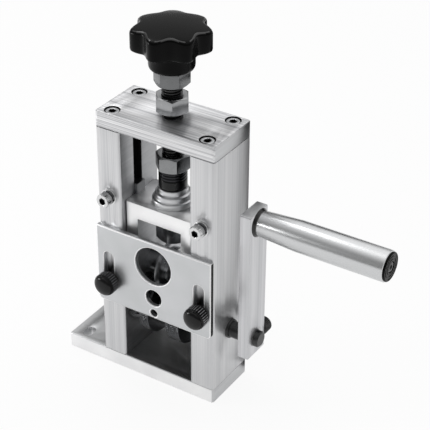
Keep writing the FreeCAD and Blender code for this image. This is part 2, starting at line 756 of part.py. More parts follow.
def build_crank_arm():
    half_arm = arm_width / 2
    arm = block((arm_inner, arm_outer), (-half_arm, half_arm), (arm_bottom, arm_top))
    arm = rounded(arm, arm_round, Vector(1, 0, 0))
    rim = [edge for edge in arm.Edges if edge.BoundBox.XLength < 1e-6]
    arm = arm.makeChamfer(edge_break, rim)
    start, end = arm_inner - past, arm_outer + past
    arm = arm.cut(bar("x", shaft_radius + seat_play, start, end, (0.0, shaft_height)))
    arm = arm.cut(bar("x", spindle_radius + seat_play, start, end, (0.0, handle_height)))
    at = ((arm_inner + arm_outer) / 2, shaft_height)
    arm = arm.cut(bar("y", clamp_radius + seat_play, 0, half_arm + past, at))
    tip = math.sqrt(shaft_radius ** 2 - clamp_radius ** 2) + clamp_back_off
    head = half_arm + clamp_head_height
    clamp = turned("y", [(tip, clamp_radius - clamp_bevel), (tip + clamp_bevel, clamp_radius),
                         (half_arm, clamp_radius), (half_arm, clamp_head_radius),
                         (head - clamp_bevel, clamp_head_radius),
                         (head, clamp_head_radius - clamp_bevel)], at)
    save("crank_arm", arm)
    save("arm_clamp_screw", clamp.cut(hexagon("y", clamp_socket, head - clamp_socket_depth, head + past, at)))


def build_handle():
    at = (0.0, handle_height)
    tap = cap_screw_radius + seat_play
    spindle = bar("x", spindle_radius, arm_inner, spindle_end, at)
    spindle = spindle.cut(bar("x", tap, spindle_end - spindle_tap_depth, spindle_end + past, at))
    save("handle_spindle", spindle)
    washer_face = arm_outer + handle_washer_thick
    washer = turned("x", [(arm_outer, handle_washer_radius - washer_bevel),
                          (arm_outer + washer_bevel, handle_washer_radius),
                          (washer_face, handle_washer_radius - washer_cone)], at)
    washer = washer.cut(bar("x", spindle_radius + seat_play, arm_outer - past, grip_start, at))
    save("handle_washer", washer)
    grip = turned("x", [(grip_start, grip_small_radius - grip_bevel),
                        (grip_start + grip_bevel, grip_small_radius),
                        (grip_start + grip_taper_length, grip_radius),
                        (grip_end - grip_end_bevel, grip_radius),
                        (grip_end, grip_radius - grip_end_bevel)], at)
    grip = grip.cut(bar("x", grip_bore_radius, grip_start - past, cap_inner + past, at))
    grip = grip.cut(bar("x", cap_radius, cap_inner, grip_end + past, at))
    save("grip_tube", grip)
    bushes = []
    for start in (grip_start, cap_inner - grip_bush_length):
        bushes.append(tube("x", grip_bore_radius - seat_play, spindle_radius + running_play,
                           start, start + grip_bush_length, at))
    save("grip_bushes", bushes)

    recess = cap_screw_head_radius + cap_recess
    floor = cap_face - cap_screw_head_height - 2 * face_gap
    lip_radius = cap_radius + cap_lip
    cap = turned("x", [(cap_inner, cap_radius - seat_play), (grip_end, cap_radius - seat_play),
                       (grip_end, lip_radius), (cap_face - cap_bevel, lip_radius),
                       (cap_face, lip_radius - cap_bevel)], at)
    cap = cap.cut(bar("x", recess, floor, cap_face + past, at))
    cap = cap.cut(bar("x", cap_screw_radius + cap_lip, cap_inner - past, floor + past, at))
    for ring in (1, 2):
        groove = cap_radius - ring * cap_groove_step
        cap = cap.cut(tube("x", groove, groove - cap_groove_width, cap_face - cap_groove_width,
                           cap_face + past, at))
    save("end_cap", cap)
    seat = floor + face_gap
    top = seat + cap_screw_head_height
    screw = turned("x", [(spindle_end - cap_screw_length, cap_screw_radius), (seat, cap_screw_radius),
                         (seat, cap_screw_head_radius), (top - washer_bevel, cap_screw_head_radius),
                         (top, cap_screw_head_radius - washer_bevel)], at)
    socket = hexagon("x", cap_screw_socket, top - cap_screw_socket_depth, top + past, at)
    save("end_cap_screw", screw.cut(socket))


os.makedirs("parts", exist_ok=True)
build_base()
build_upright(-1, "left_upright")
build_upright(1, "right_upright")
build_top_plate()
build_base_screws()
build_front_screws()
build_bearings()
build_drive()
build_carriage()
build_disc()
build_pressure_screw()
build_knob()
build_guide()
build_crank_arm()
build_handle()
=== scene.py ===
import bpy
import bmesh
import math
from mathutils import Matrix, Vector


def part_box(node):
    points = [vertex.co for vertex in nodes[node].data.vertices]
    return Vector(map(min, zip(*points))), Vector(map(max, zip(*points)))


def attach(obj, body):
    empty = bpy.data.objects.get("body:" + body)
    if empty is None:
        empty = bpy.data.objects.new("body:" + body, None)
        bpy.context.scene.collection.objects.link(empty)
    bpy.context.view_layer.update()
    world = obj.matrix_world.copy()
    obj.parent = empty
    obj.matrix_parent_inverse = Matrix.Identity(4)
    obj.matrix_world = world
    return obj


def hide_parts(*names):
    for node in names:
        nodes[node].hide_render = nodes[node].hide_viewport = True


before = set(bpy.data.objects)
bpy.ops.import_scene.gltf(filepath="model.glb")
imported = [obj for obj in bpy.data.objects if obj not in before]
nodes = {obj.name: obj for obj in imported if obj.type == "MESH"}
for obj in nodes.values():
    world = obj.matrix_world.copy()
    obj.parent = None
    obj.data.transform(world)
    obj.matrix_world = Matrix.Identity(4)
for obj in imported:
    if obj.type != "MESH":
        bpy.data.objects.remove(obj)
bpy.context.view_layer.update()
mm = 0.001
print("frame loaded:", len(nodes), "nodes")


# colours, nodes and the patterns that several finishes share

def toLinear(hexText):
    channels = [int(hexText[start:start + 2], 16) / 255 for start in (1, 3, 5)]
    return [((c + 0.055) / 1.055) ** 2.4 if c > 0.04045 else c / 12.92 for c in channels] + [1]


def addNode(tree, kind, inputs=None, **settings):
    node = tree.nodes.new(kind)
    for name, value in settings.items():
        setattr(node, name, value)
    for socket, value in (inputs or {}).items():
        if isinstance(value, bpy.types.NodeSocket):
            tree.links.new(value, node.inputs[socket])
        else:
            node.inputs[socket].default_value = value
    return node


def startMaterial(name):
    material = bpy.data.materials.new(name)
    material.use_nodes = True
    material.node_tree.nodes.clear()
    return material, material.node_tree


def closeMaterial(tree, sockets):
    shader = addNode(tree, "ShaderNodeBsdfPrincipled", sockets)
    addNode(tree, "ShaderNodeOutputMaterial", {"Surface": shader.outputs["BSDF"]})


def closeSatin(tree, look, tone, gloss):
    # a metal whose colour follows one pattern and whose roughness follows another
    closeMaterial(tree, {"Base Color": twoTone(tree, tone, look["dark"], look["light"]), "Metallic": 1.0,
                         "Roughness": spread(tree, gloss, look["smooth"], look["rough"])})


def addNoise(tree, place, scale, detail):
    noise = addNode(tree, "ShaderNodeTexNoise",
                    {"Vector": place, "Scale": scale, "Detail": detail, "Roughness": 0.6})
    return noise.outputs["Fac"]


def streaks(tree, along, acrossSize, alongSize, shift=0.0, detail=3.0):
    # noise drawn out along one axis of the piece, sizes in mm; most of it lies between 0.3 and 0.7
    place = addNode(tree, "ShaderNodeTexCoord").outputs["Object"]
    scale = [1 / (acrossSize * mm)] * 3
    scale["xyz".index(along)] = 1 / (alongSize * mm)
    drawn = addNode(tree, "ShaderNodeMapping", {"Vector": place, "Scale": scale, "Location": [shift] * 3})
    return addNoise(tree, drawn.outputs["Vector"], 1.0, detail)


def grains(tree, size, detail=3.0):
    # even noise, size in mm
    place = addNode(tree, "ShaderNodeTexCoord").outputs["Object"]
    return addNoise(tree, place, 1 / (size * mm), detail)


def turnedRings(tree, axis, middle, spacing, wobble=1.5):
    # rings that a lathe tool or a grinding wheel leaves round an axis, spacing in mm
    place = addNode(tree, "ShaderNodeTexCoord").outputs["Object"]
    toAxis = [-part * mm for part in middle]
    centred = addNode(tree, "ShaderNodeMapping", {"Vector": place, "Location": toAxis})
    # at scale 1 the wave has a ring every pi / 10
    rings = addNode(tree, "ShaderNodeTexWave",
                    {"Vector": centred.outputs["Vector"], "Scale": math.pi / 10 / (spacing * mm),
                     "Distortion": wobble, "Detail": 2.0, "Detail Scale": 1.2},
                    wave_type="RINGS", rings_direction=axis.upper())
    return rings.outputs["Fac"]


def spread(tree, factor, low, high, fromLow=0.3, fromHigh=0.7):
    ranged = addNode(tree, "ShaderNodeMapRange", {"Value": factor, "From Min": fromLow, "From Max": fromHigh,
                                                  "To Min": low, "To Max": high})
    return ranged.outputs["Result"]


def twoTone(tree, factor, dark, light, fromLow=0.3, fromHigh=0.7):
    level = spread(tree, factor, 0.0, 1.0, fromLow, fromHigh)
    ramp = addNode(tree, "ShaderNodeValToRGB", {"Fac": level})
    ramp.color_ramp.elements[0].color = toLinear(dark)
    ramp.color_ramp.elements[1].color = toLinear(light)
    return ramp.outputs["Color"]


def both(tree, first, second, share=0.5):
    # share of the second pattern laid over the first
    mixed = addNode(tree, "ShaderNodeMix", {"Factor": share, "A": first, "B": second})
    return mixed.outputs["Result"]


def relief(tree, factor, height):
    # bump from a pattern, height in mm
    bump = addNode(tree, "ShaderNodeBump", {"Height": factor, "Distance": height * mm, "Strength": 1.0})
    return bump.outputs["Normal"]


# finishes

# bands are wider and longer than the lines, and a share of their tone is laid over them; offAxis keeps
# the brush direction from lying square on a face
brushedLook = {"smooth": 0.34, "rough": 0.42, "scratch": 0.0015, "stretch": 0.75, "offAxis": 0.07,
               "bandShare": 0.4, "bandStretch": 4, "bandShift": 3, "toneLow": 0.36, "toneHigh": 0.62}


def toWorld(tree, direction):
    turned = addNode(tree, "ShaderNodeVectorTransform", {"Vector": direction}, vector_type="VECTOR",
                     convert_from="OBJECT", convert_to="WORLD")
    return turned.outputs["Vector"]


def brushAcross(tree, along):
    # the direction on the surface that crosses the brush lines, which its highlights spread along
    brush = [brushedLook["offAxis"]] * 3
    brush["xyz".index(along)] = 1.0
    turned = toWorld(tree, brush)
    outward = addNode(tree, "ShaderNodeNewGeometry").outputs["Normal"]
    across = addNode(tree, "ShaderNodeVectorMath", {0: outward, 1: turned}, operation="CROSS_PRODUCT")
    return across.outputs["Vector"]


def brushedAluminium(name, along, dark, light, lineSize=0.5, lineLength=120.0, bandSize=5.0, shift=0.0):
    # 6061 aluminium brushed along one axis: fine drawn lines and wider soft bands in a bright satin metal
    material, tree = startMaterial(name)
    lines = streaks(tree, along, lineSize, lineLength, shift)
    bands = streaks(tree, along, bandSize, lineLength * brushedLook["bandStretch"],
                    shift + brushedLook["bandShift"], detail=1.0)
    tone = both(tree, lines, bands, brushedLook["bandShare"])
    closeMaterial(tree, {
        "Base Color": twoTone(tree, tone, dark, light, brushedLook["toneLow"], brushedLook["toneHigh"]),
        "Metallic": 1.0,
        "Roughness": spread(tree, lines, brushedLook["rough"], brushedLook["smooth"]),
        "Anisotropic": brushedLook["stretch"],
        "Tangent": brushAcross(tree, along),
        "Normal": relief(tree, lines, brushedLook["scratch"])})
    return material


groundLook = {"dark": "#c6c7c8", "light": "#d2d3d4", "smooth": 0.36, "rough": 0.44, "line": 0.7,
              "length": 60.0, "cloud": 9.0}


def groundAluminium(name, along):
    # aluminium ground flat: a grey satin that mirrors what stands on it as a blur, with faint lines
    material, tree = startMaterial(name)
    lines = streaks(tree, along, groundLook["line"], groundLook["length"])
    marks = both(tree, lines, grains(tree, groundLook["cloud"]))
    closeSatin(tree, groundLook, marks, marks)
    return material


milledLook = {"dark": "#a9aaac", "light": "#c3c4c6", "smooth": 0.42, "rough": 0.52, "mark": 1.6,
              "length": 30.0, "cloud": 6.0}


def milledAluminium(name):
    # aluminium faced with an end mill: duller than the brushed outside, with faint marks across it
    material, tree = startMaterial(name)
    marks = streaks(tree, "y", milledLook["mark"], milledLook["length"])
    cloud = grains(tree, milledLook["cloud"])
    closeSatin(tree, milledLook, both(tree, marks, cloud), cloud)
    return material


edgeHighlightLook = {"dark": "#f6f6f7", "light": "#ffffff", "smooth": 0.5, "rough": 0.58, "grain": 1.5}


def paintedEdgeHighlight(name):
    # the chamfered edge, painted near white as a highlight along it: brighter than the brushed faces beside
    # it
    material, tree = startMaterial(name)
    fine = grains(tree, edgeHighlightLook["grain"])
    closeSatin(tree, edgeHighlightLook, fine, fine)
    return material


blastedLook = {"grit": 0.7, "cloud": 20.0, "smooth": 0.36, "rough": 0.44, "pit": 0.001}


def blastedAluminium(name, dark, light):
    # aluminium blasted with fine beads and clear anodised: an even pale satin with hardly any lines
    material, tree = startMaterial(name)
    grit = grains(tree, blastedLook["grit"])
    cloud = grains(tree, blastedLook["cloud"], detail=1.0)
    closeMaterial(tree, {
        "Base Color": twoTone(tree, cloud, dark, light),
        "Metallic": 1.0,
        "Roughness": spread(tree, grit, blastedLook["smooth"], blastedLook["rough"]),
        "Normal": relief(tree, grit, blastedLook["pit"])})
    return material


gripLook = {"dark": "#cfd0d1", "light": "#d9dadb", "smooth": 0.3, "rough": 0.35, "line": 0.8,
            "length": 400.0, "stretch": 0.8}


def polishedAluminium(name):
    # a turned tube polished on the lathe: bright and dark bands run along it, and faint lines run round it
    material, tree = startMaterial(name)
    lines = streaks(tree, "y", gripLook["line"], gripLook["length"])
    closeMaterial(tree, {
        "Base Color": twoTone(tree, lines, gripLook["dark"], gripLook["light"]),
        "Metallic": 1.0,
        "Roughness": spread(tree, lines, gripLook["smooth"], gripLook["rough"]),
        "Anisotropic": gripLook["stretch"],
        "Tangent": toWorld(tree, (1.0, 0.0, 0.0))})
    return material


steelTone = (0.2, 0.8)
turnedLook = {"cloud": 5.0, "cloudShare": 0.4, "duller": 0.12, "groove": 0.004}


def turnedSteel(name, axis, middle, dark="#9b9c9e", light="#d2d3d4", roughness=0.26, spacing=0.5):
    # bright steel straight from the lathe: fine rings round its axis
    material, tree = startMaterial(name)
    rings = turnedRings(tree, axis, middle, spacing)
    tone = both(tree, rings, grains(tree, turnedLook["cloud"]), turnedLook["cloudShare"])
    closeMaterial(tree, {
        "Base Color": twoTone(tree, tone, dark, light, *steelTone),
        "Metallic": 1.0,
        "Roughness": spread(tree, rings, roughness, roughness + turnedLook["duller"], 0.0, 1.0),
        "Normal": relief(tree, rings, turnedLook["groove"])})
    return material


steelLook = {"grain": 1.2, "cloud": 6.0, "smoother": 0.03, "duller": 0.04, "pit": 0.001}


def plainSteel(name, dark, light, roughness):
    # steel as it left the machine: slightly cloudy, with small changes of gloss
    material, tree = startMaterial(name)
    fine = grains(tree, steelLook["grain"])
    tone = both(tree, fine, grains(tree, steelLook["cloud"], detail=2.0))
    closeMaterial(tree, {
        "Base Color": twoTone(tree, tone, dark, light, *steelTone),
        "Metallic": 1.0,
        "Roughness": spread(tree, fine, roughness - steelLook["smoother"], roughness + steelLook["duller"]),
        "Normal": relief(tree, fine, steelLook["pit"])})
    return material


oxideLook = {"grain": 0.8, "smoother": 0.06, "duller": 0.08, "bump": 0.004}


def blackOxide(name, dark="#060606", light="#101011", roughness=0.3, gloss=0.4):
    # steel blacked in a hot salt bath: a thin black skin with an oily gloss, greyer where it is rubbed
    material, tree = startMaterial(name)
    fine = grains(tree, oxideLook["grain"])
    closeMaterial(tree, {
        "Base Color": twoTone(tree, fine, dark, light),
        "IOR": 1.5,
        "Specular IOR Level": gloss,
        "Roughness": spread(tree, fine, roughness - oxideLook["smoother"], roughness + oxideLook["duller"]),
        "Normal": relief(tree, fine, oxideLook["bump"])})
    return material


phenolicLook = {"dark": "#040404", "light": "#080808", "peel": 1.1, "peelHeight": 0.003, "cloud": 9.0,
                "smoother": 0.04, "duller": 0.06}


def phenolic(name, roughness=0.24, gloss=0.07):
    # black phenolic resin, pressed in a mould: an even near-black with a soft shine and faint orange peel
    material, tree = startMaterial(name)
    peel = grains(tree, phenolicLook["peel"])
    cloud = grains(tree, phenolicLook["cloud"])
    closeMaterial(tree, {
        "Base Color": twoTone(tree, cloud, phenolicLook["dark"], phenolicLook["light"]),
        "IOR": 1.55,
        "Specular IOR Level": gloss,
        "Roughness": spread(tree, cloud, roughness - phenolicLook["smoother"],
                            roughness + phenolicLook["duller"]),
        "Normal": relief(tree, peel, phenolicLook["peelHeight"])})
    return material


rubberLook = {"dark": "#050505", "light": "#0a0a0a", "smooth": 0.18, "rough": 0.25, "grain": 0.5,
              "bump": 0.003, "gloss": 0.3}


def rubber(name):
    # moulded polyurethane rubber: black with a soft wet shine
    material, tree = startMaterial(name)
    fine = grains(tree, rubberLook["grain"])
    closeMaterial(tree, {
        "Base Color": twoTone(tree, fine, rubberLook["dark"], rubberLook["light"]),
        "IOR": 1.52,
        "Specular IOR Level": rubberLook["gloss"],
        "Roughness": spread(tree, fine, rubberLook["smooth"], rubberLook["rough"]),
        "Normal": relief(tree, fine, rubberLook["bump"])})
    return material


def boxOf(node):
    # lowest and highest corner of a CAD node, in mm
    low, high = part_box(node)
    return low / mm, high / mm


def axisAt(node):
    # a point on an axle along X, at the height of a node that turns on it
    low, high = boxOf(node)
    return [0, 0, (low.z + high.z) / 2]


shaftMiddle = axisAt("bearing_inner_rings")
discMiddle = axisAt("cutting_disc")
handleMiddle = axisAt("grip_tube")

finish = {
    "bridge": brushedAluminium("bridge brushed aluminium", "x", "#a4a5a8", "#f3f3f4", 0.5, 70.0, 3.0),
    "upright": brushedAluminium("upright brushed aluminium", "z", "#c6c7c9", "#dededf", 0.5, 300.0, 5.0),
    "base": groundAluminium("base ground aluminium", "x"),
    # the base's front and back: blasted, and painted paler than its top as light on them
    "baseSide": blastedAluminium("base side blasted aluminium with painted light", "#f2f2f3", "#fcfcfc"),
    "arm": brushedAluminium("arm brushed aluminium", "z", "#c8c9cb", "#dcdcde", 0.6, 200.0, 4.0, shift=17.0),
    # the arm's inner face: blasted, and painted paler than the arm as light on it
    "armBack": blastedAluminium("arm inner face blasted aluminium with painted light", "#f2f2f3", "#fafafa"),
    "cutEnd": brushedAluminium("sawn and ground aluminium end", "y", "#c4c5c7", "#d6d7d8", 0.5, 80.0, 4.0),
    "inner": milledAluminium("milled inner face of the upright"),
    # chamfered edges painted near white as highlights
    "edge": paintedEdgeHighlight("chamfered aluminium with painted highlight"),
    # one blasted aluminium in two copies: painted paler on the block's front and sides as light, darker on
    # its back as shade
    "block": blastedAluminium("block blasted aluminium", "#f5f5f6", "#fcfcfc"),
    "blockBack": blastedAluminium("block back blasted aluminium with painted shade", "#d6d7d8", "#e0e0e1"),
    "guide": blastedAluminium("guide blasted aluminium", "#cbcdce", "#d2d3d5"),
    # painted shade in the slide grooves of the uprights
    "groove": blackOxide("painted shade in the slide groove", "#040404", "#0b0b0b", 0.45, gloss=0.2),
    "grip": polishedAluminium("grip polished aluminium"),
    "nickel": plainSteel("bright nickel plate", "#cdcecf", "#e4e4e4", 0.07),
    "springSteel": plainSteel("dulled spring washer steel", "#67686a", "#7b7c7e", 0.2),
    "nut": plainSteel("plain turned nut steel", "#838485", "#959697", 0.24),
    "litNut": plainSteel("turned nut steel with painted light", "#97989a", "#a9aaab", 0.22),
    "darkNut": plainSteel("nut steel with painted shade", "#6c6d6e", "#7d7e7f", 0.26),
    "washer": plainSteel("blued steel washer", "#2b2b2d", "#3a3a3c", 0.12),
    # painted shade for plate joints, the counterbore walls and the guide plate's end
    "seam": plainSteel("oily joint between plates", "#262627", "#333334", 0.5),
    "key": plainSteel("key steel", "#77787a", "#88898b", 0.3),
    # the sunk screws are painted darker than the front ones, as shade in their holes
    "sunkScrewShade": plainSteel("steel screw with painted shade for its hole", "#a6a7a9", "#c2c3c5", 0.14),
    "socket": blackOxide("painted shade in hexagon sockets", "#030303", "#060606", 0.4, gloss=0.3),
    "blackScrew": blackOxide("black oxide screw", gloss=0.5, roughness=0.25),
    "thumb": blackOxide("black anodised thumb screw", "#030303", "#060606", 0.2, gloss=0.3),
    "crest": plainSteel("rubbed knurl crests with painted highlight", "#8c8c8e", "#a2a2a4", 0.3),
    "rod": blackOxide("black oxide rod", roughness=0.22, gloss=0.6),
    "driveSteel": plainSteel("hardened knurled steel", "#47484a", "#5b5c5e", 0.24),
    "hardSteel": blackOxide("hardened dark steel", "#0f1011", "#232425", 0.3, gloss=0.6),
    "bush": turnedSteel("turned steel bush", "z", [0, 0, 0], "#c2c3c5", "#dadbdc", 0.3, 1.3),
    "turnedX": turnedSteel("turned steel on the axle", "x", discMiddle),
    "shaftSteel": turnedSteel("turned steel on the shaft", "x", shaftMiddle),
    "spindle": turnedSteel("turned steel spindle", "x", handleMiddle),
    "bearing": turnedSteel("ground bearing steel", "x", shaftMiddle, "#6f7072", "#b9babc", 0.2, 0.9),
    "blade": turnedSteel("ground blade steel", "x", discMiddle, "#98999b", "#d0d1d3", 0.18, 0.7),
    "bronze": turnedSteel("sintered bronze", "x", discMiddle, "#7d6038", "#b08a52", 0.35),
    "knob": phenolic("moulded phenolic"),
    "knobRim": phenolic("buffed phenolic rim", roughness=0.16, gloss=0.6),
    "rubber": rubber("polyurethane rubber"),
}
print("finishes made:", len(finish))


# shared mesh steps; every bmesh is in millimetres until it is placed

near = 0.01  # how close in mm a vertex lies to a radius or a height to be on it
secondFinish = 1  # material slot of the finish that follows a piece's own


def lathe(profile, steps=96, closed=False):
    # spins (radius, height) points about Z
    bm = bmesh.new()
    points = [bm.verts.new((radius, 0, height)) for radius, height in profile]
    pairs = list(zip(points, points[1:] + points[:1])) if closed else list(zip(points, points[1:]))
    edges = [bm.edges.new(pair) for pair in pairs]
    bmesh.ops.spin(bm, geom=points + edges, cent=(0, 0, 0), axis=(0, 0, 1), angle=math.tau, steps=steps,
                   use_merge=True)
    bmesh.ops.remove_doubles(bm, verts=bm.verts, dist=0.001)
    bmesh.ops.recalc_face_normals(bm, faces=bm.faces)
    return bm


def flatRing(inner, outer, thick, steps=96):
    return lathe([(inner, 0), (outer, 0), (outer, thick), (inner, thick)], steps, closed=True)


def soften(bm, width, segments=2, sharperThan=30):
    # rounds the edges between faces that meet at more than some degrees
    edges = [edge for edge in bm.edges
             if edge.is_manifold and edge.calc_face_angle(0) > math.radians(sharperThan)]
    made = bmesh.ops.bevel(bm, geom=edges, offset=width, affect="EDGES", segments=segments, profile=0.5,
                           material=-1, clamp_overlap=True)
    return made["faces"]


def reachOf(spot):
    return math.hypot(spot.x, spot.y)


def setRadius(vert, radius):
    reach = reachOf(vert.co)
    vert.co.x *= radius / reach
    vert.co.y *= radius / reach


def hexReach(vert, flats, turn=0.0):
    # from the middle to the side of a hexagon, in the direction of a vertex
    sector = math.radians(60)
    angle = math.atan2(vert.co.y, vert.co.x) - math.radians(turn)
    return flats / 2 / math.cos((angle + sector / 2) % sector - sector / 2)


def knurl(bm, teeth, depth, radius, low, high):
    # cuts straight teeth into the vertices that lie at a radius between two heights
    for vert in bm.verts:
        reach = reachOf(vert.co)
        if abs(reach - radius) < near and low - near < vert.co.z < high + near:
            angle = math.atan2(vert.co.y, vert.co.x)
            setRadius(vert, reach - depth * (0.5 - 0.5 * math.cos(teeth * angle)))


def placeAlong(bm, direction, spot):
    # turns a mesh made along Z to a direction, and moves its foot to a spot
    turned = Vector((0, 0, 1)).rotation_difference(Vector(direction)).to_matrix().to_4x4()
    bmesh.ops.transform(bm, matrix=Matrix.Translation(spot) @ turned, verts=bm.verts)


def standAt(bm, height):
    bmesh.ops.translate(bm, vec=(0, 0, height), verts=bm.verts)


def addTo(bm, other):
    mesh = bpy.data.meshes.new("joined")
    other.to_mesh(mesh)
    other.free()
    bm.from_mesh(mesh)
    bpy.data.meshes.remove(mesh)


def addObject(name, data):
    made = bpy.data.objects.new(name, data)
    bpy.context.scene.collection.objects.link(made)
    return made


def addMesh(name, bm):
    mesh = bpy.data.meshes.new(name)
    bm.to_mesh(mesh)
    bm.free()
    return addObject(name, mesh)


def addPiece(name, bm, body, material, replaced, sharpAngle=32, others=()):
    # faces that meet at more than sharpAngle degrees keep a sharp edge; others are further finishes
    bmesh.ops.transform(bm, matrix=Matrix.Scale(mm, 4), verts=bm.verts)
    piece = addMesh(name, bm)
    piece.data.shade_smooth()
    piece.data.set_sharp_from_angle(angle=math.radians(sharpAngle))
    for finishName in (material, *others):
        piece.data.materials.append(finish[finishName])
    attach(piece, body)
    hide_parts(*replaced)


def pieceName(node):
    first, *others = node.split("_")
    return first + "".join(word.title() for word in others)


def softenedCopy(node):
    # a CAD node's mesh, merged and with its flat faces whole
    bm = bmesh.new()
    bm.from_mesh(nodes[node].data)
    bmesh.ops.transform(bm, matrix=Matrix.Scale(1 / mm, 4), verts=bm.verts)
    bmesh.ops.remove_doubles(bm, verts=bm.verts, dist=0.002)
    bmesh.ops.dissolve_limit(bm, angle_limit=math.radians(0.3), verts=bm.verts, edges=bm.edges)
    return bm


# plates and blocks: the CAD shape with its sharp edges rounded

# body, finish and width of the rounding along the edges
plates = {"base_plate": ("frame", "base", 0.8), "left_upright": ("frame", "upright", 0.5),
          "right_upright": ("frame", "upright", 0.5), "top_plate": ("frame", "bridge", 0.6),
          "sliding_block": ("carriage", "block", 0.5), "guide_plate": ("guide", "guide", 0.45),
          "crank_arm": ("crank", "arm", 0.45)}
# a plate's own finish comes first, and these follow it
plateParts = ["edge", "cutEnd", "inner", "groove", "seam", "armBack", "baseSide", "blockBack"]
facing = 0.9  # a face looks along an axis from this share of its normal on
# boxes round the faces of the slide grooves and of the sliding block's window, the same on both sides
grooveFace = {"low": (23.6, -5.9, 61.5), "high": (27.7, 2.5, 167.0)}
windowFace = {"side": 15.3, "depth": 14.4, "top": 110.5}
# heights of the joints between plates, and how far from them an edge still counts as part of one; edges there
# get painted shade
seams = {"heights": (boxOf("base_plate")[1].z, boxOf("top_plate")[0].z), "reach": 0.6,
         "nodes": ("left_upright", "right_upright", "top_plate")}
# the guide plate's end faces past this get painted shade
guideEnd = boxOf("guide_plate")[1].x - 0.5
# holes of the four sunk screws: their axes, how far out their walls are, and how high the walls go; the walls
# get painted shade
counterbore = {"x": 31.75, "y": 13.25, "reach": 5.2, "top": 175.3}


def inGroove(face):
    x, y, z = face.calc_center_median()
    ranges = zip(grooveFace["low"], (abs(x), y, z), grooveFace["high"])
    return all(low < part < high for low, part, high in ranges)


def inCounterbore(face):
    x, y, z = face.calc_center_median()
    reach = math.hypot(abs(x) - counterbore["x"], abs(y) - counterbore["y"])
    return reach < counterbore["reach"] and z < counterbore["top"]


def inWindow(face):
    x, y, z = face.calc_center_median()
    return abs(x) < windowFace["side"] and abs(y) < windowFace["depth"] and z < windowFace["top"]


def setPart(face, part):
    face.material_index = plateParts.index(part) + 1


def partPlate(bm, node, edgeFaces):
    # rounded edges get a painted highlight; edges at joints, counterbore walls, the guide's end, the slide
    # grooves and the block's back get painted shade; the base's front and back and the arm's inner face get
    # painted light; sawn ends and milled insides have finishes of their own
    bm.normal_update()
    for face in edgeFaces:
        height = face.calc_center_median().z
        apart = min(abs(height - level) for level in seams["heights"])
        setPart(face, "seam" if node in seams["nodes"] and apart < seams["reach"] else "edge")
    for face in bm.faces:
        x, y, z = face.normal
        atEnd = abs(x) > facing and abs(face.calc_center_median().x) > guideEnd
        tests = [("cutEnd", abs(x) > facing, ("base_plate", "top_plate")),
                 ("cutEnd", abs(z) > facing, ("crank_arm",)),
                 ("inner", x > facing, ("left_upright",)),
                 ("inner", x < -facing, ("right_upright",)),
                 ("groove", inGroove(face), ("left_upright", "right_upright")),
                 ("inner", inWindow(face), ("sliding_block",)),
                 ("blockBack", y > facing, ("sliding_block",)),
                 ("baseSide", abs(y) > facing, ("base_plate",)),
                 ("seam", inCounterbore(face), ("top_plate",)),
                 ("armBack", x < -facing, ("crank_arm",)),
                 ("seam", atEnd, ("guide_plate",))]
        for part, holds, owners in tests:
            if holds and node in owners:
                setPart(face, part)


def makePlates():
    for node, (body, finishName, width) in plates.items():
        bm = softenedCopy(node)
        partPlate(bm, node, soften(bm, width))
        addPiece(pieceName(node), bm, body, finishName, [node], others=plateParts)


makePlates()
print("plates made")


# knob

knobShape = {"lobes": 7, "firstLobe": 121.6, "lobeDepth": 2.05, "steps": 210,
             "flareStart": 8.7, "flareEnd": 11.6, "lobeInner": 3.0, "lobeOuter": 19.0,
             "rimLow": 24.2, "rimReach": 16.0, "rimSlope": (0.2, 0.9),
             "dome": 0.0066, "domeStart": 16.5, "domeEnd": 22.5,
             "profile": [(0, 0), (11.6, 0), (12.4, 0.4), (12.9, 1.3), (13.1, 2.6), (13.1, 8.2),
                         (13.4, 9.2), (14.6, 10.2), (16.5, 10.8), (18.2, 11.2), (19.5, 11.7), (20.6, 12.4),
                         (20.9, 13.3), (20.9, 17.5), (20.9, 22.0), (20.9, 25.6), (20.75, 26.2),
                         (20.45, 26.75), (19.95, 27.12), (19.2, 27.33), (18.2, 27.4)],
             "top": 27.4, "topSteps": 8, "topStep": 2.0}


def between(value, low, high):
    # rises smoothly from 0 at low to 1 at high
    share = min(1, max(0, (value - low) / (high - low)))
    return share * share * (3 - 2 * share)


def makeKnob():
    # the round profile is waved out into lobes above its neck, and its top is domed
    foot = boxOf("star_knob")[0].z
    lobes, firstLobe = knobShape["lobes"], math.radians(knobShape["firstLobe"])
    top = [(knobShape["topStep"] * step, knobShape["top"]) for step in range(knobShape["topSteps"], -1, -1)]
    bm = lathe(knobShape["profile"] + top, knobShape["steps"])
    for vert in bm.verts:
        reach = reachOf(vert.co)
        if reach > near:
            wave = math.cos(lobes * (math.atan2(vert.co.y, vert.co.x) - firstLobe))
            depth = knobShape["lobeDepth"]
            depth *= between(vert.co.z, knobShape["flareStart"], knobShape["flareEnd"])
            depth *= between(reach, knobShape["lobeInner"], knobShape["lobeOuter"])
            setRadius(vert, reach + depth * wave)
            crown = between(vert.co.z, knobShape["domeStart"], knobShape["domeEnd"])
            vert.co.z -= crown * knobShape["dome"] * (reach + depth * wave) ** 2
    bm.normal_update()
    flattest, steepest = knobShape["rimSlope"]
    for face in bm.faces:
        spot = face.calc_center_median()
        onRim = spot.z > knobShape["rimLow"] and reachOf(spot) > knobShape["rimReach"]
        if onRim and flattest < face.normal.z < steepest:
            face.material_index = secondFinish
    standAt(bm, foot)
    addPiece("starKnob", bm, "screw", "knob", ["star_knob"], 50, ["knobRim"])


makeKnob()


# pressure screw and nuts

# crest, root and depth are shares of the pitch
threadShape = {"pitch": 1.75, "crest": 1 / 8, "root": 1 / 4, "depth": 0.6134, "steps": 40}


